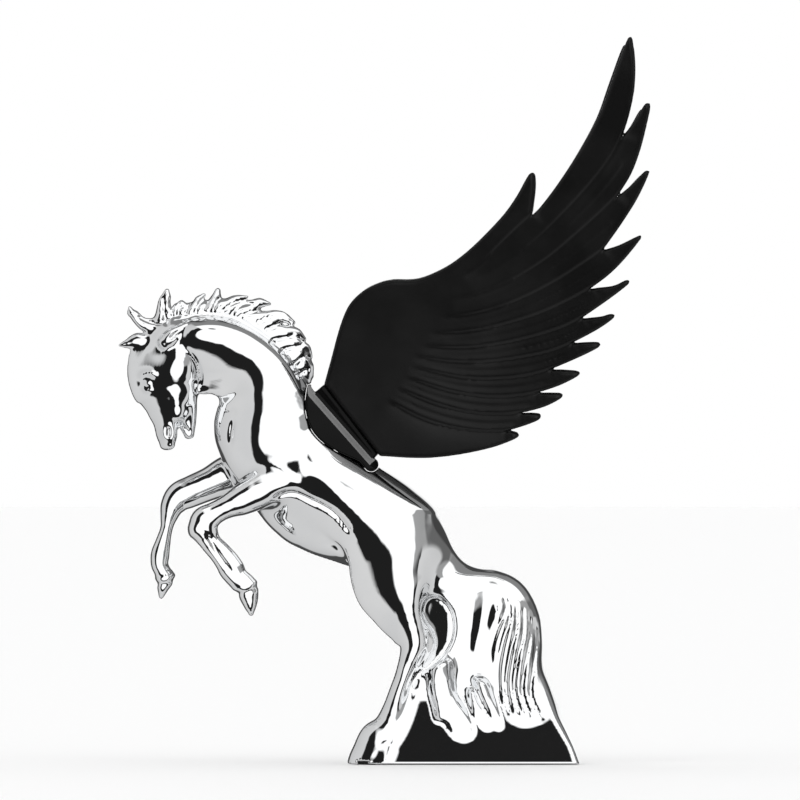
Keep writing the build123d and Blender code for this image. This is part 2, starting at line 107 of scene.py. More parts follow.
class Field:
    """A signed field in mm on a grid; negative is inside."""

    def __init__(self, low, high, step):
        self.low, self.step = np.array(low, float), step
        counts = np.ceil((np.array(high) - self.low) / step).astype(int) + 1
        self.x, self.y, self.z = (self.low[i] + step * np.arange(counts[i]) for i in range(3))
        self.values = np.full(counts, FAR_AWAY, np.float32)

    def window(self, low, high):
        """Slices of the grid that cover a box."""
        out = []
        for i, axis in enumerate((self.x, self.y, self.z)):
            a = int(np.searchsorted(axis, low[i]))
            b = int(np.searchsorted(axis, high[i]))
            out.append(slice(max(a - 1, 0), min(b + 1, len(axis))))
        return tuple(out)

    def join(self, window, shape, blend):
        """Adds a shape, rounding the inner corner over about blend mm."""
        self.values[window] = soft_min(shape.astype(np.float32), self.values[window], blend)

    def carve(self, window, shape, blend):
        """Takes a shape away, rounding the edge over about blend mm."""
        self.values[window] = soft_max(-shape.astype(np.float32), self.values[window], blend)

    def box(self, window, centre, half, radius):
        """The field of a rounded box over a window of the grid."""
        x, y, z = self.x[window[0]], self.y[window[1]], self.z[window[2]]
        place = (x[:, None, None] - centre[0], y[None, :, None] - centre[1], z[None, None, :] - centre[2])
        return rounded_box(*place, half, radius)

    def limb(self, stations, blend, power=2.0, caps=(0.8, 0.8), wedge=0.0):
        """A limb through stations of (upper x, z, lower x, z, half width, y), with oval sections.

        power makes the sections boxier, caps are the ends' lengths as shares of the half depth, and wedge
        narrows the sections to the left of the line from the first station to the last.
        """
        wedge = np.broadcast_to(np.array(wedge, float), len(stations))
        rows = smooth_rows([tuple(row) + (k,) for row, k in zip(stations, wedge)], 14)
        middle = np.column_stack([(rows[:, 0] + rows[:, 2]) / 2, (rows[:, 1] + rows[:, 3]) / 2])
        depth = np.maximum(np.hypot(rows[:, 0] - rows[:, 2], rows[:, 1] - rows[:, 3]) / 2, 0.1)
        width, side = np.maximum(rows[:, 4], 0.1), rows[:, 5]
        reach = depth.max() * 1.25 + 4
        low = (middle[:, 0].min() - reach, (side - width).min() - 4, middle[:, 1].min() - reach)
        high = (middle[:, 0].max() + reach, (side + width).max() + 4, middle[:, 1].max() + reach)
        window = self.window(low, high)
        px, pz = np.meshgrid(self.x[window[0]], self.z[window[2]], indexing="ij")
        place, off, past = along_line(px, pz, middle)
        steps = np.arange(len(rows))
        a = np.interp(place, steps, depth)[:, None, :]
        b = np.interp(place, steps, width)[:, None, :]
        y = self.y[window[1]][None, :, None] - np.interp(place, steps, side)[:, None, :]
        cap = np.where(place < 1, depth[0] * caps[0], depth[-1] * caps[1])[:, None, :]
        b = b * np.clip(1 - np.interp(place, steps, rows[:, 6])[:, None, :] * off[:, None, :] / a, 0.3, 1.7)
        u, v, w = np.abs(off[:, None, :]) / a, np.abs(y) / b, past[:, None, :] / cap
        q = np.maximum((u**power + v**power + w**power) ** (1 / power), 1e-4)
        slope = np.sqrt(
            (u ** (power - 1) / a) ** 2 + (v ** (power - 1) / b) ** 2 + (w ** (power - 1) / cap) ** 2
        ) / q ** (power - 1)
        self.join(window, (q - 1) / np.maximum(slope, 1e-3), blend)

    def dent(self, centre, radii, blend, tilt):
        """Carves an ellipsoid, turned by tilt degrees in the side view."""
        centre, radii = np.array(centre, float), np.array(radii, float)
        reach = radii.max() + 3
        window = self.window(centre - reach, centre + reach)
        x = (self.x[window[0]] - centre[0])[:, None, None]
        y = (self.y[window[1]] - centre[1])[None, :, None]
        z = (self.z[window[2]] - centre[2])[None, None, :]
        c, s = math.cos(math.radians(tilt)), math.sin(math.radians(tilt))
        u, w = (c * x + s * z) / radii[0], (c * z - s * x) / radii[2]
        v = y / radii[1]
        q = np.sqrt(u**2 + v**2 + w**2)
        slope = np.sqrt((u / radii[0]) ** 2 + (v / radii[1]) ** 2 + (w / radii[2]) ** 2)
        shape = q * (q - 1) / np.maximum(slope, 1e-3)
        self.carve(window, np.where(q < 0.05, -radii.min(), shape), blend)

    def mesh(self, name, place=None):
        """A mesh object of the surface, its vertices moved onto the field's zero."""
        grid = openvdb.FloatGrid()
        grid.background = 3 * self.step
        grid.copyFromArray(np.clip(self.values, -3 * self.step, 3 * self.step).astype(np.float32))
        points, triangles, quads = grid.convertToPolygons(isovalue=0.0)
        points = points.astype(float)
        gradient = np.gradient(self.values.astype(np.float32))
        for _ in range(3):
            value = sample(self.values, points)
            slope = np.stack([sample(g, points) for g in gradient], axis=1)
            size = np.maximum((slope**2).sum(axis=1), 1e-6)
            move = -(value / size)[:, None] * slope
            points += np.clip(move, -0.5, 0.5)
        points = evened(points, quads, triangles)
        points = points * self.step + self.low
        if place is not None:
            points = place(points)
        faces = [tuple(f) for f in quads[:, ::-1]] + [tuple(f) for f in triangles[:, ::-1]]
        mesh = bpy.data.meshes.new(name)
        mesh.from_pydata((points * MM).tolist(), [], faces)
        mesh.validate()
        mesh.shade_smooth()
        obj = bpy.data.objects.new(name, mesh)
        bpy.context.scene.collection.objects.link(obj)
        return obj


def evened(points, quads, triangles):
    """The points with the grid's fine unevenness taken out, without shrinking the shape."""
    sides = [quads[:, [i, (i + 1) % 4]] for i in range(4)]
    sides += [triangles[:, [i, (i + 1) % 3]] for i in range(3)]
    ends = np.vstack(sides)
    a, b = ends[:, 0].astype(int), ends[:, 1].astype(int)
    count = np.bincount(a, minlength=len(points)) + np.bincount(b, minlength=len(points))
    for share in (0.5, -0.53) * 4:
        total = np.empty_like(points)
        for i in range(3):
            total[:, i] = np.bincount(a, points[b, i], len(points)) + np.bincount(b, points[a, i], len(points))
        points = points + share * (total / np.maximum(count, 1)[:, None] - points)
    return points


def sample(values, points):
    """Trilinear values at points given in grid steps."""
    limit = np.array(values.shape) - 2
    base = np.clip(np.floor(points).astype(int), 0, limit)
    t = np.clip(points - base, 0, 1)
    out = 0
    for i in (0, 1):
        for j in (0, 1):
            for k in (0, 1):
                weight = (
                    (t[:, 0] if i else 1 - t[:, 0])
                    * (t[:, 1] if j else 1 - t[:, 1])
                    * (t[:, 2] if k else 1 - t[:, 2])
                )
                out = out + weight * values[base[:, 0] + i, base[:, 1] + j, base[:, 2] + k]
    return out


class Relief:
    """A height map over the side view, in mm, that is carved into a field's flanks."""

    def __init__(self, x, z):
        self.x, self.z = np.meshgrid(x, z, indexing="ij")
        self.height = np.zeros(self.x.shape)

    def stroke(self, points, width, height, taper=0.25):
        """A ridge (height above 0) or groove along a curve, fading out over taper of its length at each end."""
        line = smooth_rows(points, 8)
        reach = 3.5 * width
        inside = (
            (self.x > line[:, 0].min() - reach)
            & (self.x < line[:, 0].max() + reach)
            & (self.z > line[:, 1].min() - reach)
            & (self.z < line[:, 1].max() + reach)
        )
        place, off, past = along_line(self.x[inside], self.z[inside], line)
        share = place / (len(line) - 1)
        fade = np.clip(np.minimum(share, 1 - share) / max(taper, 1e-6), 0, 1) if taper else 1.0
        distance = np.hypot(off, past)
        self.height[inside] += height * np.exp(-((distance / width) ** 2)) * fade

    def mound(self, centre, radii, height, tilt=0.0):
        """A soft swelling or hollow."""
        c, s = math.cos(math.radians(tilt)), math.sin(math.radians(tilt))
        x, z = self.x - centre[0], self.z - centre[1]
        u, w = (c * x + s * z) / radii[0], (c * z - s * x) / radii[1]
        self.height += height * np.exp(-(u**2 + w**2))


def outline_distance(x, z, outline):
    """Signed distance to a closed outline; negative inside."""
    best = np.full(x.shape, 1e12)
    inside = np.zeros(x.shape, bool)
    points = np.array(outline, float)
    for (ax, az), (bx, bz) in zip(points, np.roll(points, -1, axis=0)):
        ex, ez = bx - ax, bz - az
        t = np.clip(((x - ax) * ex + (z - az) * ez) / max(ex * ex + ez * ez, 1e-12), 0, 1)
        best = np.minimum(best, (x - ax - t * ex) ** 2 + (z - az - t * ez) ** 2)
        crosses = (az > z) != (bz > z)
        inside ^= crosses & (x < ax + (z - az) * ex / (ez if ez else 1e-12))
    distance = np.sqrt(best)
    return np.where(inside, -distance, distance)


# ---------------------------------------------------------------- the saddle's frame on the horse's back
TOP_FRONT, TOP_REAR = np.array([-39.8, 98.2]), np.array([-24.6, 81.0])
BACK_MIDDLE = (TOP_FRONT + TOP_REAR) / 2
ALONG = (TOP_REAR - TOP_FRONT) / np.hypot(*(TOP_REAR - TOP_FRONT))
OFF = np.array([-ALONG[1], ALONG[0]])
ROOT_Y = 4.5
WING_LEAN = math.radians(18.0)
COLLAR_H, COLLAR_LENGTH, COLLAR_W = 3.6, 21.4, 5.0
SOCKET_HALF = (8.15, 1.33, 5)
SCREW_PLACES, SCREW_HOLE_RADIUS = (-6, 6), 1.12


def back_frame(x, z):
    """(along the back, off it) for points of the side view."""
    x, z = x - BACK_MIDDLE[0], z - BACK_MIDDLE[1]
    return x * ALONG[0] + z * ALONG[1], x * OFF[0] + z * OFF[1]


# ---------------------------------------------------------------- the horse's layout
# Stations: upper x, z, lower x, z, half width, y.
TRUNK = [
    (-7.5, 62, -14, 53.5, 6.6, 0),
    (-9.6, 67.2, -19, 53.5, 9.3, 0),
    (-12.6, 71.5, -25, 54.5, 10.6, 0),
    (-17.5, 75, -30, 56.5, 11.2, 0),
    (-24.5, 79.3, -36.5, 59.5, 11.4, 0),
    (-31.5, 84.5, -43.5, 63, 11.4, 0),
    (-37, 89.5, -50.5, 66.5, 11.2, 0),
    (-41.3, 94.5, -57, 71, 10.8, 0),
    (-42, 100, -61.2, 78, 10, 0),
    (-44.5, 105.5, -61.7, 86, 8.6, 0),
    (-49.5, 110.5, -61.2, 92.8, 7.5, 0),
    (-57, 115.3, -64.8, 95.8, 6.5, 0),
    (-65, 117.9, -68.8, 97, 6.8, 0),
    (-73, 117.6, -71.5, 100, 6.2, 0),
    (-80, 115.5, -76, 104, 3.8, 0),
]
TRUNK_WEDGE = [0, 0.05, 0.1, 0.12, 0.15, 0.16, 0.2, 0.28, 0.38, 0.56, 0.68, 0.8, 0.9, 0.85, 0.4]
BELLY = [
    (-60.5, 73.5), (-57, 69), (-55, 66.3), (-52.5, 63), (-50, 60.5), (-47, 58.3), (-43, 56.3), (-39.5, 54.8),
    (-35, 53.3), (-30, 51.8), (-24, 51.4), (-20, 62), (-28, 78), (-40, 86), (-56, 87),
    (-61, 80),
]
BUTTOCK = [
    (-10.6, 68, -21, 61, 9.6, 0),
    (-7, 61.5, -17, 53, 8.8, 0),
    (-4.4, 56.4, -14.5, 47, 7.6, 0),
    (-1.6, 52.6, -11.5, 43, 6.4, 0),
]
CHEST = [
    (-48, 78, -54.5, 70.5, 7, 0),
    (-53, 84, -61, 76.5, 5.8, 0),
    (-54.6, 88, -61, 82.6, 3.8, 0),
]
HEAD = [
    (-83.5, 114.8, -72, 110.5, 4, 0),
    (-87.6, 109.5, -70.4, 106, 4.7, 0),
    (-88.6, 104.5, -69.9, 102, 5.3, 0),
    (-87.8, 100.2, -69.9, 98.6, 5, 0),
    (-85.6, 96.6, -70.4, 96, 4.3, 0),
    (-83.2, 93.4, -72, 93, 3.6, 0),
]
HEAD_WEDGE = [-0.82, -0.73, -0.56, -0.5, -0.56, -0.56]
MUZZLE = [
    (-85.8, 97, -75.5, 97, 4, 0),
    (-82.7, 92.4, -75.3, 92, 3.3, 0),
    (-81.6, 88.4, -75.4, 88.8, 3, 0),
    (-81, 85.6, -75.4, 86.6, 2.9, 0),
    (-80.2, 83.6, -76, 84.4, 2.3, 0),
]
JAW = [
    (-77, 96, -70.2, 96, 3.4, 0),
    (-76, 91.8, -70.3, 91.8, 2.8, 0),
    (-74.9, 88.8, -70.6, 88.4, 2.4, 0),
    (-73.8, 86.6, -71, 86.2, 1.9, 0),
]
NEAR_FORELEG = [
    (-47, 84, -44, 73.5, 3.2, -5),
    (-51, 79.5, -47.6, 70, 4.2, -6.8),
    (-56, 76, -52, 67.3, 4.3, -7.6),
    (-60.5, 73, -56.5, 65.7, 3.8, -8),
    (-64.5, 69.9, -60.3, 65.2, 3.2, -8),
    (-68.3, 67.3, -62.8, 64.5, 2.9, -8),
    (-71.7, 65.2, -64.4, 62.9, 3, -8),
    (-72.7, 62.2, -65.1, 61.3, 3, -8),
    (-69.3, 57.1, -63.9, 59.1, 2.4, -8),
    (-67, 54.3, -61.6, 56.9, 2.3, -8),
    (-65.3, 51.7, -59.6, 54.8, 2.4, -8),
    (-64.2, 49.6, -58, 52.5, 2.6, -8),
    (-62.4, 47.6, -57, 50.3, 2.5, -8),
    (-60.1, 45.4, -54.6, 47.9, 2.8, -8),
    (-59, 42.9, -54.2, 44.4, 2.5, -8),
    (-57.8, 40.7, -54.7, 41.6, 2, -8),
    (-56.7, 39.3, -55.4, 39.6, 1.2, -8),
]
FAR_FORELEG = [
    (-50, 86.5, -47, 75.5, 3.2, 5),
    (-57, 83.6, -53.5, 73, 4.4, 6.6),
    (-64, 80.8, -60, 70.8, 4.3, 7.6),
    (-69, 77.6, -65.3, 69.4, 3.8, 8),
    (-73.5, 75.4, -69.6, 67.9, 3.4, 8),
    (-77.2, 73.4, -72.6, 66.8, 3.2, 8),
    (-79.2, 70, -74.6, 65.3, 3.1, 8),
    (-79.8, 66, -75.9, 63.4, 2.6, 8),
    (-80.1, 62.3, -76.8, 61.3, 2.2, 8),
    (-81.4, 58.3, -77.3, 58.3, 2.1, 8),
    (-82.6, 55, -77.6, 55.2, 2.3, 8),
    (-82.6, 52.4, -77.9, 52.2, 2.4, 8),
    (-81.7, 50, -77.2, 50.8, 2.3, 8),
    (-81.4, 48.2, -76.3, 49.2, 2.6, 8),
    (-81, 45.9, -77.9, 45.8, 2.1, 8),
    (-80.5, 43.9, -79.2, 43.7, 1, 8),
]
HIND_WEDGE = [-0.3, -0.45, -0.58, -0.62, -0.62, -0.6, -0.5, -0.4, -0.35, -0.35, -0.35, -0.35, -0.35, -0.35, -0.3]
HIND_LEG = [
    (-24, 72, -10, 63, 4.2, -5.6),
    (-29.3, 62.5, -9, 56, 6.4, -5),
    (-30.2, 54.8, -9.5, 49.5, 6.6, -5.4),
    (-28.5, 48.4, -10.5, 43, 6, -6),
    (-24.1, 42, -11, 38, 5, -6.6),
    (-19.7, 36.2, -10.4, 33.6, 4.1, -7.1),
    (-17.4, 32.2, -10.4, 30.6, 3.4, -7.6),
    (-17.2, 29.2, -12, 27.6, 2.9, -8),
    (-18.2, 24.5, -14.2, 23.2, 2.5, -8),
    (-19.8, 20, -15.8, 18.8, 2.4, -8),
    (-21.6, 15.4, -17.2, 13.6, 2.6, -8),
    (-23.8, 11.6, -18.6, 9.6, 3, -8.2),
    (-27.2, 9.2, -20.2, 5.5, 3.5, -8.4),
    (-29.4, 4.6, -21, 2.5, 4, -8.6),
    (-30.6, 0.6, -21.6, -0.6, 4.2, -8.6),
]
FAR_HIND_SHIFT = 4.6
TAIL = [
    (-8.5, 66, -14, 58, 4, 0),
    (-5.2, 58.8, -10, 52, 4.2, 0),
    (-2, 53.8, -5, 46, 4.6, 0),
    (3, 51.6, 1, 43, 5, 0),
    (9, 50.8, 4, 40, 5.6, 0),
    (14.5, 48, 6, 37, 6, 0),
    (18.3, 42, 6, 33, 6.3, 0),
    (19.8, 34, 6, 28, 6.6, 0),
    (20.1, 24.5, 7, 21, 7, 0),
    (23.5, 15, 9, 12, 8, 0),
]
# The web between hind legs and tail, and the foot that it flares into: front, rear, z, half width.
FOOT = [
    (-9, 2, 48.5, 5.2),
    (-10.5, 8, 42, 6.6),
    (-11, 13, 36, 7),
    (-11.5, 17.5, 28, 7),
    (-13, 20.8, 22, 7.1),
    (-14.8, 22.4, 18, 7.8),
    (-17, 24.4, 13, 9.6),
    (-19, 26.8, 8, 11.5),
    (-20.8, 28.6, 4, 13),
    (-22.3, 30.2, -0.4, 14.66),
    (-22.9, 30.8, -2, 15.26),
]
SOLE_MIDDLE, SOLE_HALF = (-4.3, 0, -0.2), (24.3, 8.0, 1.6)
# The hollow between hock and tail, and the runs of metal down the foot's sides.
HOLLOW = [
    (-8.7, 35.2), (-10.6, 37.8), (-11.4, 40.6), (-10.2, 43.3), (-7.6, 44.2), (-5, 42.6), (-3.2, 39.6),
    (-2.7, 35.6), (-3.4, 32), (-5.4, 28.6), (-8.2, 26), (-11.6, 24), (-10.4, 26.2), (-8.6, 29.2), (-8, 32.2),
]
RUNS = [
    # where it sinks into the foot, its outline
    (6, [(-9.2, 26), (-9, 20), (-8, 15.5), (-7.2, 12), (-5.4, 11.4), (-4.2, 10), (-2.6, 7.6),
           (-0.6, 6.6), (1.4, 7.2), (1.8, 9.6), (0.6, 13), (-1.4, 16), (-3, 19), (-3.6, 23), (-4.4, 28)]),
    (9, [(0.9, 19.6), (1.5, 15), (2.2, 12.4), (3.8, 11.4), (5, 9.4), (6.8, 8.8), (6.8, 10.4), (5, 13.4),
           (3.4, 16.6), (2.2, 19.6)]),
    (9, [(2.2, 22.6), (3.6, 18.4), (5.4, 15), (8.2, 9.6), (9.6, 9), (9, 12.6), (7.2, 17.4), (5.4, 22)]),
]
MANE_MASS = [
    (-79.5, 119, -78.5, 113, 2.2, 0),
    (-74, 120, -74, 114, 2.6, 0),
    (-69, 121.2, -69, 114.2, 2.8, 0),
    (-64.6, 122.2, -65.2, 113.8, 2.8, 0),
    (-58.8, 121.4, -60.8, 112.4, 2.8, 0),
    (-54, 119.8, -57, 110.4, 2.8, 0),
    (-49.4, 117.2, -53, 108, 2.7, 0),
    (-45.8, 113.8, -49.2, 105.4, 2.6, 0),
    (-42.8, 109.8, -46.6, 102.4, 2.5, 0),
    (-41.4, 105, -45.2, 99.4, 2.3, 0),
    (-41.2, 101, -44, 97.4, 1.8, 0),
]
MANE_LOCKS = [
    # root to tip: x, z, half depth, half width, y
    [(-80, 111, 3, 2.4, 0), (-85.5, 111, 2.4, 1.8, 0), (-88.6, 110.3, 1.3, 1, 0),
         (-90.7, 109.9, 0.4, 0.4, 0)],
    [(-80, 114, 3, 2.4, 0), (-84.5, 115.5, 1.9, 1.7, 0), (-87.2, 118, 1.5, 1.3, 0),
         (-88, 119.6, 0.6, 0.6, 0)],
    [(-79, 113, 3.2, 2.6, 0), (-79, 118, 2.3, 2, 0), (-78.6, 121.8, 1.8, 1.4, 0),
         (-78.2, 124.2, 0.7, 0.6, 0)],
    [(-76, 114, 3, 2.8, 0), (-76, 118, 2.6, 2.4, 0), (-74.4, 120.6, 1.2, 1.2, 0)],
    [(-72.5, 114.5, 3, 2.8, 0), (-71.5, 118.5, 2.8, 2.4, 0), (-69.8, 121.4, 1.6, 1.6, 0),
         (-68.6, 123, 0.7, 0.8, 0)],
    [(-68.5, 114.5, 3, 2.8, 0), (-67, 118.5, 2.8, 2.4, 0), (-65.6, 122, 1.9, 1.7, 0),
         (-64.9, 124.2, 0.8, 0.8, 0)],
    [(-66, 115, 3, 2.6, 0), (-63.5, 118.5, 2.6, 2.2, 0), (-60.5, 121.3, 1.8, 1.7, 0),
         (-57, 122.4, 0.6, 0.8, 0)],
    [(-62, 115, 3, 2.6, 0), (-58.5, 118.6, 2.4, 2.2, 0), (-54.5, 120.8, 1.7, 1.5, 0),
         (-51.3, 120.8, 0.5, 0.5, 0)],
    [(-57, 113, 3, 2.6, 0), (-52.5, 116.3, 2.6, 2.2, 0), (-48.4, 117.3, 1.7, 1.6, 0),
         (-45.3, 115.9, 0.8, 0.8, 0)],
    [(-52, 110.5, 3, 2.6, 0), (-48.2, 112.8, 2.6, 2.2, 0), (-44.6, 113.2, 1.5, 1.5, 0),
         (-42.3, 111.6, 0.7, 0.7, 0)],
    [(-48.5, 106.5, 3, 2.6, 0), (-45, 109.3, 2.4, 2.1, 0), (-42, 109.2, 1.4, 1.3, 0),
         (-40.5, 107, 0.6, 0.6, 0)],
    [(-46, 102, 3, 2.4, 0), (-43, 105, 2.2, 2, 0), (-41.2, 104.6, 1.4, 1.3, 0), (-40.3, 101.8, 0.6, 0.6, 0)],
]
TAIL_GROOVES = [
    [(10.2, 45), (10.6, 40.5), (8.2, 35), (6.7, 30), (7, 25)],
    [(11.6, 43.5), (11.6, 38), (9.8, 31.5), (8.6, 24), (9.2, 15)],
    [(13.4, 43), (13.4, 36), (11.8, 29), (10.8, 21), (12.2, 12.6)],
    [(15.2, 42.5), (15.2, 35), (13.8, 28), (12.9, 20), (14.8, 12.8)],
    [(16.8, 41), (17, 34), (15.8, 27), (15, 19), (17.4, 12.2)],
    [(18.2, 39), (18.5, 32), (17.7, 25), (17.3, 18), (20.4, 11.6)],
]
MANE_GROOVES = [
    [(-88.5, 118.4), (-87.2, 115.8), (-85.6, 113.8), (-83.2, 112.6)],
    [(-86.2, 117.8), (-84, 116.4), (-81, 115.6), (-78.8, 115.8)],
    [(-79.2, 123.6), (-79, 120.5), (-78.8, 117), (-78, 114.8)],
    [(-77.3, 122.6), (-76.9, 119.5), (-76.6, 117)],
    [(-74.6, 121), (-75.2, 118.8), (-75.4, 117)],
    [(-70.8, 122.4), (-72.4, 120.2), (-73.6, 117.8)],
    [(-68.2, 123.5), (-69.8, 120.8), (-71, 118)],
    [(-66, 124.6), (-67.6, 121.4), (-69, 118.4)],
    [(-64.4, 122.6), (-65.6, 120.4), (-66.4, 118)],
    [(-54, 122.6), (-58, 122), (-61.4, 120.6), (-64.4, 118.2)],
    [(-55, 121.2), (-58.4, 120.4), (-60.6, 119), (-61.4, 117.4)],
    [(-50.8, 119.8), (-54, 119), (-57.4, 118.2), (-60, 117.2)],
    [(-46.4, 117.6), (-49.4, 117.8), (-52.6, 116.8), (-55.4, 115.6)],
    [(-46.2, 115), (-48.4, 115.6), (-50.6, 114.8), (-53, 113.8)],
    [(-44.4, 112.4), (-46.8, 112), (-49.6, 111.6), (-51.2, 110.8)],
    [(-42, 110.4), (-44.2, 109.6), (-46.6, 109.2), (-48.4, 108.2)],
    [(-40.6, 106.6), (-42.2, 107), (-44, 105.6), (-45.4, 104.2)],
    [(-40.6, 103.4), (-41.8, 103.4), (-43.2, 102.4), (-44, 101.2)],
]
# Ridges and grooves on both flanks: width, height, share of the length that each end fades over, points.
FLANK_STROKES = [
    # the raised rim around the hollow, and the groove behind it
    (2.6, 0.8, 0.2, [(-12.6, 37), (-13.4, 41), (-12, 45), (-8, 47.4), (-3, 46.8), (0.2, 43),
                     (1.4, 38), (1, 32), (-1, 27)]),
    (1.9, -0.95, 0.2, [(4.4, 46), (5.6, 41.5), (4.2, 36), (3.4, 31), (4.6, 25)]),
    # between bone and tendon on the near foreleg, and the belly's upper edge
    (0.7, -0.6, 0.25, [(-70.5, 63.2), (-67, 59.3), (-65, 55.6), (-62.4, 52), (-59, 47.8)]),
    (0.7, -0.8, 0.1, [(-51, 69.6), (-45.5, 71.4), (-40, 69.4), (-35, 66.6), (-32, 63.6), (-29.8, 60.6)]),
    # the throat, and the front of the neck
    (0.6, -0.22, 0.25, [(-68.2, 97.3), (-66, 95.7), (-64, 94), (-62.6, 93.2), (-61, 93), (-60, 91.5)]),
    (0.6, -0.4, 0.25, [(-60.6, 90.6), (-61.2, 87.4), (-61.6, 83.4)]),
    # the ridge above the belly, and the one down the neck
    (4.2, 1.5, 0.36, [(-53.5, 70.4), (-49, 73), (-44.6, 75.6), (-40.6, 76.9), (-36.5, 75.2), (-32.5, 70.6),
                      (-29, 65.6), (-25.5, 60)]),
    (2.8, 0.4, 0.25, [(-53.8, 76), (-54.8, 81), (-55.2, 86), (-54.9, 91), (-54.6, 95), (-55.6, 100),
                      (-58.5, 104)]),
    # behind the cheek, the brow, under the eye, and along the muzzle
    (0.6, -0.6, 0.25, [(-74.2, 110), (-70.6, 105.6), (-69.6, 101.6), (-70.6, 97)]),
    (0.8, 0.8, 0.25, [(-85.8, 101.2), (-84.2, 102.5), (-82.2, 102.6), (-80.8, 101.4)]),
    (0.5, 0.5, 0.25, [(-85, 99.2), (-83.6, 98), (-81.6, 98.6)]),
    (1.8, 0.65, 0.2, [(-77.5, 99), (-76, 95.5), (-75.3, 92), (-75.6, 89.5)]),
    # nostril, its rim, and the mouth
    (0.5, -0.9, 0.25, [(-78.2, 88.6), (-77.6, 87.2), (-78, 85.6)]),
    (0.5, 0.4, 0.25, [(-79.2, 88.4), (-79.2, 86.6), (-78.4, 85)]),
    (0.45, -0.7, 0.25, [(-76.2, 88.6), (-74.9, 89.6), (-73.4, 88.2), (-72, 86.6)]),
]
# The cheek, the eye's socket and the eye: middle, radii, height, tilt.
FACE_MOUNDS = [
    ((-76, 104), (4.4, 6.4), 0.9, -12),
    ((-83.2, 99.7), (1.6, 1.2), -0.5, -14),
    ((-83.3, 99.8), (1.15, 0.9), 0.9, -14),
]
CORONETS = [[(-60.6, 46), (-57.2, 46.4), (-54.2, 48.2)], [(-82, 48.6), (-79, 48.4), (-76.2, 49.6)]]
# Where the mane stands on the crest.
CREST = [
    (-80.3, 115.6), (-75.5, 117.8), (-69, 118.2), (-64.7, 117.9), (-60.3, 117), (-56, 114.6),
    (-51.7, 111.4), (-47.3, 107.1), (-44.9, 104), (-43.2, 100.1), (-42.2, 96.6),
]


def lock(field, rows, blend, side=0.0):
    """A lock of hair through rows of (x, z, half depth, half width, y)."""
    rows = [list(r) for r in rows]
    stations = []
    for i, (x, z, depth, width, y) in enumerate(rows):
        a, b = rows[max(i - 1, 0)], rows[min(i + 1, len(rows) - 1)]
        ex, ez = b[0] - a[0], b[1] - a[1]
        length = math.hypot(ex, ez)
        nx, nz = -ez / length * depth, ex / length * depth
        stations.append((x + nx, z + nz, x - nx, z - nz, width, y + side))
    field.limb(stations, blend, caps=(0.6, 1.0))


def inflate(field, outline, slope, most, blend):
    """A body with a side outline, whose half width grows by slope for each mm inside it, up to most."""
    closed = smooth_rows(list(outline) + [outline[0]], 4)[:-1]
    low, high = closed.min(axis=0), closed.max(axis=0)
    window = field.window((low[0] - 3, -most - 3, low[1] - 3), (high[0] + 3, most + 3, high[1] + 3))
    x, z = np.meshgrid(field.x[window[0]], field.z[window[2]], indexing="ij")
    inside = -outline_distance(x, z, closed)
    width = slope * inside + 1.6 * (1 - np.exp(-np.maximum(inside, 0) / 0.9)) * (inside > 0)
    width = most - 0.8 * np.logaddexp(0, (most - width) / 0.8)
    shape = (np.abs(field.y[window[1]])[None, :, None] - width[:, None, :]) / math.hypot(1, slope)
    field.join(window, shape, blend)


def prism(field, levels, blend):
    """Stacked rounded boxes through levels of (front, rear, z, half width), highest first."""
    rows = smooth_rows(levels, 6)[::-1]
    window = field.window((-40, -20, rows[0, 2] - 4), (40, 20, rows[-1, 2] + 4))
    z = field.z[window[2]]
    zc = np.clip(z, rows[0, 2], rows[-1, 2])
    front, rear, half = (np.interp(zc, rows[:, 2], rows[:, i])[None, None, :] for i in (0, 1, 3))
    x, y = field.x[window[0]][:, None, None], field.y[window[1]][None, :, None]
    radius = half * np.interp(zc, [5, 26], [0.1, 0.45])
    u = np.abs(x - (front + rear) / 2) - (rear - front) / 2 + radius
    v = np.abs(y) - half + radius
    flat = np.hypot(np.maximum(u, 0), np.maximum(v, 0)) + np.minimum(np.maximum(u, v), 0) - radius
    past = (np.maximum(z - rows[-1, 2], rows[0, 2] - z))[None, None, :]
    field.join(window, np.maximum(flat * 0.94, past), blend)


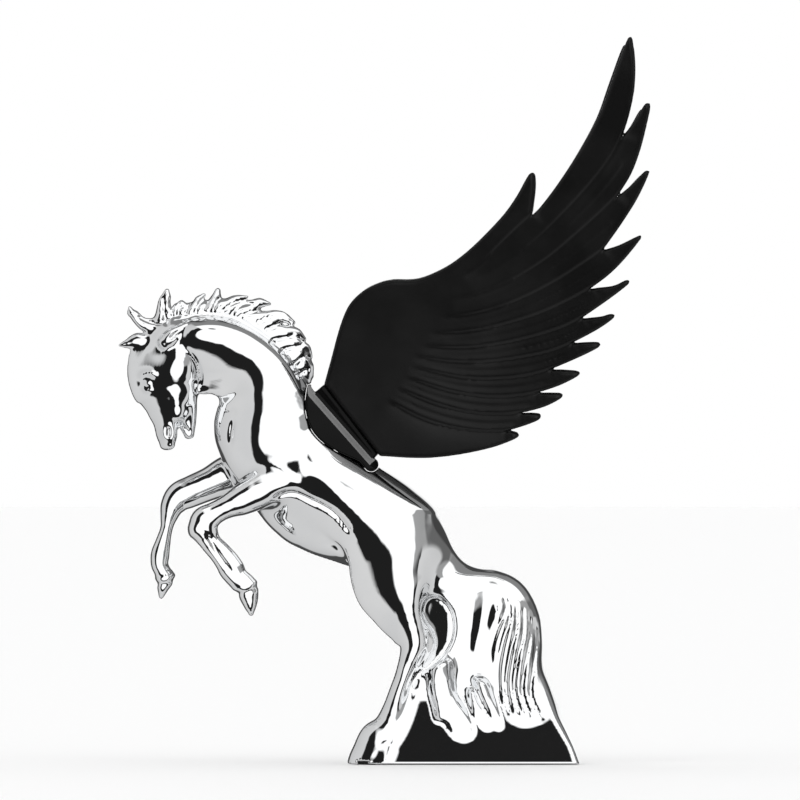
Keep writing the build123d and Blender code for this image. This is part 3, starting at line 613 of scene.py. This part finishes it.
def horse_field(step):
    """The whole horse, its tail and its foot."""
    field = Field((-93, -17, -1.5), (32.5, 17, 127), step)
    far_hind = []
    for a, b, c, d, w, y in HIND_LEG:
        shift = FAR_HIND_SHIFT * min(max((60 - b) / 22, 0), 1)
        far_hind.append((a + shift, b, c + shift, d, w, -y))
    field.limb(TRUNK, 1.0, power=2.1, wedge=TRUNK_WEDGE)
    field.limb(CHEST, 2.0)
    inflate(field, BELLY, 0.72, 10.6, 1.8)
    field.limb(TAIL, 3.0, power=2.3)
    prism(field, FOOT, 4.0)
    # the thin sole that goes on forward between the hooves
    low = field.window((-33, -17, -3), (24, 17, 5))
    field.join(low, field.box(low, SOLE_MIDDLE, SOLE_HALF, 0.4), 0.2)
    field.limb(BUTTOCK, 3.0)
    field.limb(far_hind, 4.5, power=2.0, wedge=HIND_WEDGE, caps=(0.3, 0.8))
    field.limb(HIND_LEG, 4.5, power=2.0, wedge=HIND_WEDGE, caps=(0.3, 0.8))
    field.limb(FAR_FORELEG, 2.4, power=2.1, caps=(1.2, 0.8))
    field.limb(NEAR_FORELEG[:8], 2.4, power=2.1, caps=(1.2, 0.7))
    field.limb(NEAR_FORELEG[7:], 1.2, power=2.1, caps=(0.7, 0.8))
    field.limb(HEAD, 1.6, power=2.2, wedge=HEAD_WEDGE)
    field.limb(MUZZLE, 1.2, power=2.2, wedge=-0.48)
    field.limb(JAW, 1.0, power=2.2)
    field.limb(MANE_MASS, 0.8, power=2.3)
    for rows in MANE_LOCKS:
        lock(field, rows, 0.7)
    for side in (-1, 1):
        # ears, laid back
        ear = [(-79.2, 110.2, 1.7, 1.5, 4.4), (-76.6, 112.4, 1.9, 1.7, 5.0), (-73.0, 115.4, 0.5, 0.7, 5.2)]
        lock(field, [(x, z, d, w, side * y) for x, z, d, w, y in ear], 0.5)
        field.dent((-75.9, side * 6.9, 112.9), (2.6, 1.1, 0.75), 0.4, tilt=40)
    return field


def carve_hollow(field):
    """The hollow on each side between hock and tail, with a flat floor that slopes in toward the tail."""
    window = field.window((-14, -17, 21), (0, 17, 47))
    x, z = np.meshgrid(field.x[window[0]], field.z[window[2]], indexing="ij")
    closed = smooth_rows(HOLLOW + HOLLOW[:1], 5)[:-1]
    flat = outline_distance(x, z, closed)
    floor = (6.4 - 0.34 * (x + 11))[:, None, :] - np.abs(field.y[window[1]])[None, :, None]
    field.carve(window, soft_max(flat[:, None, :], 0.93 * floor, 1.2), 0.9)


def soften(field, low, high, rounds):
    """Evens out a box of the field, fading toward the box's sides in x and z."""
    window = field.window(low, high)
    values = field.values[window]
    even = values
    for _ in range(rounds):
        for axis in range(3):
            wide = np.pad(even, [(1, 1) if i == axis else (0, 0) for i in range(3)], mode="edge")
            wide = np.moveaxis(wide, axis, 0)
            even = np.moveaxis(0.5 * wide[1:-1] + 0.25 * (wide[:-2] + wide[2:]), 0, axis)
    share = 1.0
    for axis, i, shape in ((field.x, 0, (-1, 1, 1)), (field.z, 2, (1, 1, -1))):
        run = axis[window[i]]
        share = share * np.clip(np.minimum(run - run[0], run[-1] - run) / 3, 0, 1).reshape(shape)
    field.values[window] = values + (even - values) * share


def inside_of(relief, outline, soft):
    """1 inside an outline and 0 outside, changing over soft mm."""
    closed = smooth_rows(list(outline) + [outline[0]], 5)[:-1]
    t = np.clip(0.5 - outline_distance(relief.x, relief.z, closed) / soft, 0, 1)
    return t * t * (3 - 2 * t)


def horse_relief(field):
    """Muscles, tendons and hair on both flanks."""
    relief = Relief(field.x, field.z)
    for groove in TAIL_GROOVES:
        relief.stroke(groove, 0.6, -0.55, taper=0.12)
    for groove in MANE_GROOVES:
        relief.stroke(groove, 0.5, -0.5, taper=0.15)
    relief.stroke(CREST, 0.6, -0.5, taper=0.05)
    for bottom, outline in RUNS:
        rise = 0.21 * (np.minimum(relief.z, 23) - bottom) - 0.05 * np.maximum(relief.z - 23, 0)
        relief.height += inside_of(relief, outline, 1.0) * np.clip(rise, 0, 4)
    for width, height, taper, points in FLANK_STROKES:
        relief.stroke(points, width, height, taper)
    for centre, radii, height, tilt in FACE_MOUNDS:
        relief.mound(centre, radii, height, tilt)
    for line in CORONETS:
        relief.stroke(line, 0.7, 0.22, taper=0.0)
        relief.stroke([(x, z - 1.3) for x, z in line], 0.5, -0.3, taper=0.0)
    return relief


def rounded_box(u, v, w, half, radius):
    """Signed distance to a box with rounded edges."""
    q = [np.abs(c) - h + radius for c, h in zip((u, v, w), half)]
    outside = np.sqrt(sum(np.maximum(c, 0) ** 2 for c in q))
    return outside + np.minimum(np.maximum(np.maximum(q[0], q[1]), q[2]), 0) - radius


# The saddle's side outline: along the back, off it.
SADDLE_SIDE = [
    (-12.9, 0.6), (-11.6, 0), (-4, 0), (4, 0), (11.5, 0), (13.6, 0.3), (14.9, -0.6), (15, -2.2),
    (13.9, -3.3), (12.3, -3.4), (10.6, -3.4), (7.9, -4.6), (4.9, -5.9), (0.6, -7.2), (-3.4, -7.3), (-7.2, -6),
    (-10.2, -3.9), (-12.1, -1.9), (-13.3, -0.3),
]
SADDLE_TOP_HALF, SADDLE_SPREAD = 7.6, 0.52  # half width on top, and how much wider each mm below


def ledge_distance(y, n):
    """Signed distance to the plane of the sloping ledge along the saddle's top edge."""
    return (np.abs(y) - SADDLE_TOP_HALF + n + 0.95) * 0.707


def saddle_body(s, y, n):
    """The saddle without its collars: a shaped block whose sides follow the horse's flanks."""
    outline = smooth_rows(SADDLE_SIDE + SADDLE_SIDE[:1], 4)[:-1]
    flat = outline_distance(s, n, outline)
    lean = 1 / math.hypot(1, SADDLE_SPREAD)
    half = SADDLE_TOP_HALF + np.clip(-n, -1, 9) * SADDLE_SPREAD - 0.02 * np.clip(-n, 0, 9) ** 2
    side = (np.abs(y) - half) * lean
    body = soft_max(flat, side, 0.9)
    return soft_max(body, ledge_distance(y, n), 0.35)


def collar_top(s):
    """The collars' height: lower toward the rear."""
    return 2.9 - 0.07 * np.clip(s, -11, 13)


def socket_frame(s, y, n, side):
    """(across, up) in one wing socket's leaning frame."""
    out = side * y - ROOT_Y
    up = n * math.cos(WING_LEAN) + out * math.sin(WING_LEAN)
    return out * math.cos(WING_LEAN) - n * math.sin(WING_LEAN), up


def saddle_field(step):
    """The saddle in its own frame: along the back, across, and off the back."""
    field = Field((-15, -12.5, -9), (17, 12.5, 6), step)
    s, n = np.meshgrid(field.x, field.z, indexing="ij")
    y = field.y[None, :, None]
    values = saddle_body(s[:, None, :], y, n[:, None, :])
    s, n = s[:, None, :], n[:, None, :]
    collar_half = (COLLAR_LENGTH / 2 + 0.9, COLLAR_W / 2, 4)
    for side in (-1, 1):
        across, up = socket_frame(s, y, n, side)
        values = soft_min(rounded_box(s - 0.9, across, up - collar_top(s) + 4, collar_half, 0.5), values, 0.5)
    for side in (-1, 1):
        across, up = socket_frame(s, y, n, side)
        values = soft_max(values, -rounded_box(s, across, up - 2.2, SOCKET_HALF, 0.5), 0.3)
    for place in SCREW_PLACES:
        values = soft_max(values, SCREW_HOLE_RADIUS - np.sqrt((s - place) ** 2 + y**2), 0.2)
    # the body inside is hollowed to sit on the seal
    values = np.maximum(values, -rounded_box(s - 1.0, y, n + 9.4, (9.3, 7.4, 3.0), 0.8))
    field.values = values.astype(np.float32)
    return field


def place_saddle(points):
    """From the saddle's frame to the horse's."""
    x = BACK_MIDDLE[0] + points[:, 0] * ALONG[0] + points[:, 2] * OFF[0]
    z = BACK_MIDDLE[1] + points[:, 0] * ALONG[1] + points[:, 2] * OFF[1]
    return np.column_stack([x, points[:, 1], z])


def carve_saddle(field, gap):
    """Room for the saddle on the back."""
    window = field.window((-48, -17, 70), (-16, 17, 106))
    x, z = np.meshgrid(field.x[window[0]], field.z[window[2]], indexing="ij")
    s, n = back_frame(x, z)
    y = field.y[window[1]][None, :, None]
    shape = saddle_body(s[:, None, :], y, n[:, None, :]) - gap
    # everything above the back's line under the saddle goes too
    above = np.maximum(np.abs(s - 0.9) - 12.4, -n)[:, None, :]
    field.carve(window, np.minimum(shape, above), 0.12)


WING_T, WING_TIP_T, WING_REACH, WING_CURVE = 3.4, 1.8, 150.0, 13.6
TENON_T, TENON_LENGTH, TENON_DEPTH = 2.4, 16.0, 6.0
GROOVE_DEPTH, SHAFT_DEPTH = 0.62, 0.22
# The wing's side outline, from one notch between feathers to the next.
WING_RUNS = [
    [(10.6, 87.4), (12.6, 87.3), (13.8, 86.6), (13.4, 85.6), (7.8, 83.4), (-0.2, 81.6), (-8.2, 80.6),
     (-15.4, 80.6), (-22.6, 81), (-27, 80)],
    [(-27, 80), (-38.5, 94)],
    [(-38.5, 94), (-37, 99), (-35, 106.2), (-32.6, 115), (-30.2, 120.6), (-26.6, 124.2),
     (-22.6, 126.2), (-19, 127), (-14.6, 127), (-10.6, 127.8), (-5, 130.4), (-0.2, 133.8),
     (4.6, 138.2), (10.2, 144.2), (13.8, 149.4), (16.2, 153.8), (17.3, 154.8), (18.1, 153.8),
     (18.2, 150.2), (17.4, 143.8)],
    [(17.4, 143.8), (19.8, 146.2), (24.6, 152.6), (29.8, 160.6), (35, 170.2), (38.2, 179),
     (41.4, 187.8), (42.6, 189.9), (43.3, 188.6), (44, 183), (43.8, 176.6), (42.6, 170.2), (40.8, 164.2)],
    [(40.8, 164.2), (43.8, 167.8), (46.2, 171.9), (47.2, 172.7), (47.9, 171.6), (47, 167), (45.4, 160.6),
     (43, 154.2), (39.4, 148.4)],
    [(39.4, 148.4), (43, 151.4), (46.4, 154.9), (47.4, 155.1), (47.5, 154), (44.6, 147.8), (40.6, 141.4),
     (35.8, 134.6)],
    [(35.8, 134.6), (39.8, 135.8), (44.6, 138.1), (45.7, 138.2), (45.4, 137.2), (41.4, 132.2), (37.4, 128.2),
     (32.6, 124.6)],
    [(32.6, 124.6), (38.2, 125.2), (41.4, 126.6), (42.5, 126.6), (42.3, 125.6), (37.4, 121.8), (30.2, 116.8)],
    [(30.2, 116.8), (35, 117.2), (37.6, 117.9), (38.7, 117.6), (38.3, 116.6), (34.2, 113.8), (27.8, 110.4)],
    [(27.8, 110.4), (34, 110.6), (35, 110), (34.6, 109.2), (29.4, 106.6), (22.4, 103.6)],
    [(22.4, 103.6), (28.8, 103.1), (29.7, 102.5), (29.2, 101.7), (24.6, 99.4), (18.6, 97.4)],
    [(18.6, 97.4), (24.4, 97.3), (25.3, 96.7), (24.7, 95.8), (20.6, 93.8), (14.6, 92.2)],
    [(14.6, 92.2), (18.8, 92), (19.7, 91.3), (19.2, 90.4), (15.8, 89), (10.6, 87.4)],
]
# Grooves between the feathers, from each notch toward the shoulder.
WING_GROOVES = [
    [(17.4, 143.8), (14, 140.8), (9, 136), (4, 131), (0, 128)],
    [(40.8, 164.2), (38, 159), (33, 152.3), (25, 143.6), (18, 137), (10, 131.4), (3, 127.6)],
    [(39.4, 148.4), (35, 144.2), (29, 138.8), (21, 132.2), (12, 126.8), (4, 123.6), (-3, 122)],
    [(35.8, 134.6), (31, 131.3), (24, 126.8), (16, 122.6), (8, 119.6), (0, 117.8), (-6, 117.4)],
    [(32.6, 124.6), (27, 121.6), (20, 118.4), (12, 115.8), (4, 114), (-4, 113.2), (-9, 113.4)],
    [(30.2, 116.8), (25, 114.4), (18, 112.2), (10, 110.4), (2, 109.4), (-6, 109.4), (-11, 110)],
    [(27.8, 110.4), (22, 108.2), (14, 106.6), (6, 105.6), (-2, 105.6), (-9, 106.4), (-13, 107.4)],
    [(22.4, 103.6), (16, 101.9), (8, 101.1), (0, 101.4), (-8, 103), (-14, 104.6)],
    [(18.6, 97.4), (12, 96.5), (4, 96.6), (-4, 98), (-11, 100.2), (-15.5, 101.8)],
    [(14.6, 92.2), (8, 91.8), (0, 92.6), (-8, 94.8), (-14, 97.2), (-17.5, 98.8)],
    [(10.6, 87.4), (4, 87.4), (-4, 88.6), (-11, 90.8), (-17, 93.8), (-20, 95.6)],
]


def sheet_height(off_back):
    """Height along the leaning, curving wing sheet for a height off the back in the side view."""
    c, k = math.cos(WING_LEAN), math.sin(WING_LEAN) * WING_CURVE / WING_REACH**2
    return 2 * off_back / (c + np.sqrt(np.maximum(c * c - 4 * k * off_back, 0.01)))


def feather_line(x, z, points):
    """(share of the length, distance off it, fading past its ends) for a curve along a feather."""
    line = smooth_rows(points, 8)
    place, gap, past = along_line(x, z, line)
    return place / (len(line) - 1), gap, np.exp(-((past / 1.5) ** 2))


def wing_field(step):
    """The wing flattened out: side view x and z, and y the offset from its middle sheet, outside positive."""
    field = Field((-41, -3.6, 77), (50, 3.6, 192), step)
    x, z = np.meshgrid(field.x, field.z, indexing="ij")
    outline = []
    for run in WING_RUNS:
        outline += list(smooth_rows(run, 4)[:-1]) if len(run) > 2 else [np.array(run[0])]
    edge = outline_distance(x, z, outline)
    s, off = back_frame(x, z)
    v = sheet_height(off)
    thick = WING_T + (WING_TIP_T - WING_T) * np.clip(v / WING_REACH, 0, 1)
    relief = np.zeros(x.shape)
    for groove in WING_GROOVES:
        share, gap, past = feather_line(x, z, groove)
        fade = np.clip((1 - share) / 0.55, 0, 1) ** 0.8 * past
        # a sharp step up to the feather above the groove, and a long slope down to it from below
        under = np.where(gap > 0, np.exp(-gap / 2.6), np.exp(-((gap / 0.35) ** 2)))
        relief -= GROOVE_DEPTH * fade * under
    for above, below in zip(WING_GROOVES[1:], WING_GROOVES[2:]):
        # the shaft down the middle of the feather between two grooves
        shaft = 0.5 * (np.array(above[:6]) + np.array(below[:6]))
        share, gap, past = feather_line(x, z, shaft)
        relief -= SHAFT_DEPTH * np.clip((1 - share) / 0.6, 0, 1) * past * np.exp(-((gap / 0.4) ** 2))
    half = thick / 2 + np.maximum(relief, -0.34 * thick)
    half = np.maximum(half, 0.45)
    radius = 0.75
    flat = (edge + radius)[:, None, :]
    y = np.abs(field.y)[None, :, None] - (half - radius)[:, None, :]
    blade = np.hypot(np.maximum(flat, 0), np.maximum(y, 0)) + np.minimum(np.maximum(flat, y), 0) - radius
    blade = np.maximum(blade, (collar_top(s) + 0.06 - v)[:, None, :])
    tenon = rounded_box(
        s[:, None, :], field.y[None, :, None], (v - COLLAR_H + TENON_DEPTH / 2)[:, None, :] - 0.5,
        (TENON_LENGTH / 2, TENON_T / 2, TENON_DEPTH / 2 + 0.5), 0.4,
    )
    field.values = np.minimum(blade, tenon).astype(np.float32)
    return field


def place_wing(side):
    """Bends the flattened wing into its leaning, curving sheet on one side."""

    def place(points):
        s, off = back_frame(points[:, 0], points[:, 2])
        v = sheet_height(off)
        u = WING_CURVE * (v / WING_REACH) ** 2 * (v > 0)
        slope = 2 * WING_CURVE * np.maximum(v, 0) / WING_REACH**2
        size = np.sqrt(1 + slope**2)
        v, u = v - points[:, 1] * slope / size, u + points[:, 1] / size
        lift = v * math.cos(WING_LEAN) - u * math.sin(WING_LEAN)
        out = ROOT_Y + v * math.sin(WING_LEAN) + u * math.cos(WING_LEAN)
        x = BACK_MIDDLE[0] + s * ALONG[0] + lift * OFF[0]
        z = BACK_MIDDLE[1] + s * ALONG[1] + lift * OFF[1]
        return np.column_stack([x, side * out, z])

    return place


def flipped(obj):
    """Turns a mirrored mesh's faces the right way out."""
    obj.data.flip_normals()
    return obj


horse = horse_field(0.4)
soften(horse, (-69.5, -17.0, 85.0), (-54.0, 17.0, 103.0), 12)  # throat
soften(horse, (-57.0, -17.0, 57.5), (-41.0, 17.0, 74.0), 12)  # behind the forelegs
relief = horse_relief(horse)
horse.values -= relief.height[:, None, :].astype(np.float32)
soften(horse, (-18.0, -17.0, 22.0), (9.0, 17.0, 66.0), 12)  # thigh and web
soften(horse, (-13.0, -17.0, 1.0), (10.5, 17.0, 27.0), 3)  # runs on the foot
carve_hollow(horse)
carve_saddle(horse, 0.15)
UNDER_DEPTH = 20.0  # half the height of the boxes that are carved from below
FOOT_UNDER = [
    # middle x, half lengths in x and y, top z: under the foot, the pad's seat, the plate's room and the nuts' pockets
    (0, 60, 40, 0.2),
    (0, 28.3, 12.7, 1),
    (3.7, 21, 10.1, 4.15),
    (-6.5, 3.6, 3.6, 10.2),
    (13.5, 3.6, 3.6, 10.2),
]
under = horse.window((-45, -20, -3), (45, 20, 13))
for x, half_x, half_y, top in FOOT_UNDER:
    horse.carve(under, horse.box(under, (x, 0, top - UNDER_DEPTH), (half_x, half_y, UNDER_DEPTH), 0.3), 0.1)
horse_piece = horse.mesh("horse_skin")
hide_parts("horse_casting")
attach(horse_piece, "horse")

saddle_piece = saddle_field(0.3).mesh("saddle_skin", place_saddle)
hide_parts("wing_saddle")
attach(saddle_piece, "horse")

wing = wing_field(0.45)
left_piece = wing.mesh("left_wing_skin", place_wing(-1))
right_piece = flipped(wing.mesh("right_wing_skin", place_wing(1)))
for piece, node in ((left_piece, "left_wing"), (right_piece, "right_wing")):
    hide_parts(node)
    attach(piece, node)

# ---------------------------------------------------------------- materials


def new_material(name):
    """An empty node material and its Principled shader."""
    material = bpy.data.materials.new(name)
    material.use_nodes = True
    return material, material.node_tree.nodes["Principled BSDF"]


def noise_output(tree, scale, detail):
    """Noise that stays fixed to the piece."""
    place = tree.nodes.new("ShaderNodeTexCoord")
    noise = tree.nodes.new("ShaderNodeTexNoise")
    noise.inputs["Scale"].default_value = scale
    noise.inputs["Detail"].default_value = detail
    tree.links.new(place.outputs["Object"], noise.inputs["Vector"])
    return noise.outputs["Fac"]


def noise_bump(material, shader, scale, strength, distance):
    """Fine unevenness of the surface."""
    tree = material.node_tree
    bump = tree.nodes.new("ShaderNodeBump")
    bump.inputs["Strength"].default_value = strength
    bump.inputs["Distance"].default_value = distance
    tree.links.new(noise_output(tree, scale, 4.0), bump.inputs["Height"])
    tree.links.new(bump.outputs["Normal"], shader.inputs["Normal"])


def noise_ramp(material, shader, socket, scale, low, high):
    """Slow variation of a socket between two values or colours."""
    tree = material.node_tree
    ramp = tree.nodes.new("ShaderNodeValToRGB")
    ramp.color_ramp.elements[0].position = 0.35
    ramp.color_ramp.elements[1].position = 0.65
    ramp.color_ramp.elements[0].color = low
    ramp.color_ramp.elements[1].color = high
    tree.links.new(noise_output(tree, scale, 3.0), ramp.inputs["Fac"])
    tree.links.new(ramp.outputs["Color"], shader.inputs[socket])


def grey(value):
    return (value, value, value, 1.0)


chrome, shader = new_material("chrome_plate")
shader.inputs["Metallic"].default_value = 1.0
shader.inputs["Roughness"].default_value = 0.03
noise_ramp(chrome, shader, "Base Color", 60.0, (0.84, 0.85, 0.86, 1), (0.9, 0.905, 0.91, 1))

satin, shader = new_material("satin_black")
shader.inputs["Roughness"].default_value = 0.32
shader.inputs["Specular IOR Level"].default_value = 0.25
noise_ramp(satin, shader, "Base Color", 90.0, grey(0.003), grey(0.006))
noise_bump(satin, shader, 2500.0, 0.15, 0.0001)

gloss, shader = new_material("gloss_black")
shader.inputs["Roughness"].default_value = 0.12
shader.inputs["Specular IOR Level"].default_value = 0.1
noise_ramp(gloss, shader, "Base Color", 90.0, grey(0.002), grey(0.004))

# painted highlight: a fixed lighter grey for the saddle's sloping ledge, standing in for the light that its gloss
# edge catches
painted_highlight_material, shader = new_material("ledge_painted_highlight")
shader.inputs["Roughness"].default_value = 0.35
noise_ramp(painted_highlight_material, shader, "Base Color", 90.0, grey(0.17), grey(0.21))

rubber, shader = new_material("dark_rubber")
shader.inputs["Roughness"].default_value = 0.75
noise_ramp(rubber, shader, "Base Color", 200.0, grey(0.02), grey(0.035))
noise_bump(rubber, shader, 1800.0, 0.3, 0.0001)

steel, shader = new_material("zinc_steel")
shader.inputs["Metallic"].default_value = 1.0
shader.inputs["Roughness"].default_value = 0.38
noise_ramp(steel, shader, "Base Color", 300.0, (0.5, 0.5, 0.5, 1), (0.62, 0.61, 0.58, 1))
noise_bump(steel, shader, 900.0, 0.2, 0.0001)

dark_steel, shader = new_material("black_steel")
shader.inputs["Metallic"].default_value = 1.0
shader.inputs["Roughness"].default_value = 0.4
noise_ramp(dark_steel, shader, "Base Color", 300.0, grey(0.05), grey(0.09))
noise_bump(dark_steel, shader, 900.0, 0.2, 0.0001)

horse_piece.data.materials.append(chrome)
saddle_piece.data.materials.append(gloss)
saddle_piece.data.materials.append(painted_highlight_material)
for face in saddle_piece.data.polygons:
    # a lighter grey on the sloping ledge stands in for the light that a gloss edge catches
    x, y, z = face.center / MM
    s, n = back_frame(x, z)
    if abs(ledge_distance(y, n)) < 0.12 and abs(s) < 13.0:
        face.material_index = 1
left_piece.data.materials.append(satin)
right_piece.data.materials.append(satin)
NODE_MATERIALS = {
    "wing_saddle": gloss,
    "saddle_seal": rubber,
    "saddle_screws": dark_steel,
    "saddle_washers": dark_steel,
    "left_wing": satin,
    "right_wing": satin,
    "base_plate": steel,
    "weld_nuts": steel,
    "base_plate_screws": dark_steel,
    "base_pad": rubber,
}
for name, material in NODE_MATERIALS.items():
    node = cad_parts[name]
    for slot in node.material_slots:
        slot.link = "OBJECT"
        slot.material = material

# ---------------------------------------------------------------- studio
VIEW_X, VIEW_Z = -17.06, 95.55  # mm, the middle of the view
VIEW_HEIGHT, VIEW_DISTANCE = 210.0, 5000.0
SENSOR = 36.0

camera_data = bpy.data.cameras.new("camera")
camera_data.sensor_width = SENSOR
camera_data.lens = SENSOR * VIEW_DISTANCE / VIEW_HEIGHT
camera_data.clip_end = 100.0
camera = bpy.data.objects.new("camera", camera_data)
camera.location = (VIEW_X * MM, -VIEW_DISTANCE * MM, VIEW_Z * MM)
camera.rotation_euler = (math.radians(90), 0, 0)
bpy.context.scene.collection.objects.link(camera)
bpy.context.scene.camera = camera

floor_mesh = bpy.data.meshes.new("floor")
FLOOR = 12.0  # m, half the floor's side
corners = [(-FLOOR, -FLOOR, 0), (FLOOR, -FLOOR, 0), (FLOOR, FLOOR, 0), (-FLOOR, FLOOR, 0)]
floor_mesh.from_pydata(corners, [], [(0, 1, 2, 3)])
floor = bpy.data.objects.new("floor", floor_mesh)
bpy.context.scene.collection.objects.link(floor)
floor_material, shader = new_material("pale_floor")
shader.inputs["Base Color"].default_value = grey(0.9)
shader.inputs["Roughness"].default_value = 0.6
floor_mesh.materials.append(floor_material)
floor.visible_glossy = False

world = bpy.data.worlds.new("studio")
bpy.context.scene.world = world
world.use_nodes = True
tree = world.node_tree
background = tree.nodes["Background"]


def math_node(operation, a, b=None):
    """A maths node on sockets or numbers; gives its output."""
    node = tree.nodes.new("ShaderNodeMath")
    node.operation = operation
    for socket, value in zip(node.inputs, (a, b)):
        if value is None:
            continue
        if isinstance(value, (int, float)):
            socket.default_value = value
        else:
            tree.links.new(value, socket)
    return node.outputs[0]


def ramp_node(value, stops):
    """A grey ramp through (place 0 to 1, brightness)."""
    node = tree.nodes.new("ShaderNodeValToRGB")
    elements = node.color_ramp.elements
    while len(elements) < len(stops):
        elements.new(0.5)
    for element, (place, brightness) in zip(elements, stops):
        element.position = place
        element.color = grey(brightness)
    tree.links.new(value, node.inputs["Fac"])
    return node.outputs["Color"]


def mix_node(factor, a, b):
    """a where factor is 0, b where it is 1."""
    rest = math_node("SUBTRACT", 1.0, factor)
    return math_node("ADD", math_node("MULTIPLY", a, rest), math_node("MULTIPLY", b, factor))


def degrees_ramp(value, stops):
    """A grey ramp through (degrees from 0 to 180, brightness)."""
    return ramp_node(value, [(angle / 180, brightness) for angle, brightness in stops])


direction = tree.nodes.new("ShaderNodeSeparateXYZ")
tree.links.new(tree.nodes.new("ShaderNodeTexCoord").outputs["Generated"], direction.inputs[0])
turn = math_node("DIVIDE", math_node("ARCCOSINE", math_node("MULTIPLY", direction.outputs["Y"], -1.0)), math.pi)
# Brightness by degrees from straight out to the left side: a big light on each side, a dark gap around
# it, and pale light between the gaps.
RING = [(0, 1), (33, 1), (35.5, 0.012), (57, 0.012), (60, 0.6), (108, 0.5), (114, 0.06), (148, 0.05),
    (156, 0.8)]
# Right above, the gap is narrow, and above and behind the horse the light goes on higher.
UP_SKY = [(0, 1), (36, 1), (38, 0.012), (43, 0.012), (45, 1), (76, 1), (80, 0.22), (144, 0.2)]
OPEN_SKY = [(0, 1), (76, 1), (80, 0.22), (116, 0.2), (122, 0.05), (150, 0.05), (158, 0.8)]
# Behind it there is a grey wall in the gap's place.
REAR_SKY = [(0, 1), (33, 1), (37, 0.33), (72, 0.3), (80, 0.12), (116, 0.12), (122, 0.05), (150, 0.05),
    (158, 0.8)]
ring, up_sky, open_sky, rear_sky = (degrees_ramp(turn, stops) for stops in (RING, UP_SKY, OPEN_SKY, REAR_SKY))
bearing = math_node("ARCTAN2", direction.outputs["X"], direction.outputs["Z"])
around = math_node("ADD", math_node("DIVIDE", bearing, 2 * math.pi), 0.5)


def sector(first, last):
    """1 between two directions around the horse in degrees from straight up toward the rear, 0 elsewhere."""
    places = (first - 3, first + 3, last - 3, last + 3)
    return ramp_node(around, [(0.5 + angle / 360, height) for angle, height in zip(places, (0.0, 1.0, 1.0, 0.0))])


seen = mix_node(sector(-28, 61), ring, open_sky)
seen = mix_node(sector(-6, 6), seen, up_sky)
seen = mix_node(sector(61, 84), seen, rear_sky)
seen = math_node("MULTIPLY", seen, 1.2)
# reflections see those bands, diffuse light is even, and the camera sees plain white
path = tree.nodes.new("ShaderNodeLightPath")
soft = mix_node(path.outputs["Is Diffuse Ray"], seen, 1.3)
tree.links.new(mix_node(path.outputs["Is Camera Ray"], soft, 1.0), background.inputs["Color"])
bpy.context.scene.view_settings.view_transform = "Standard"
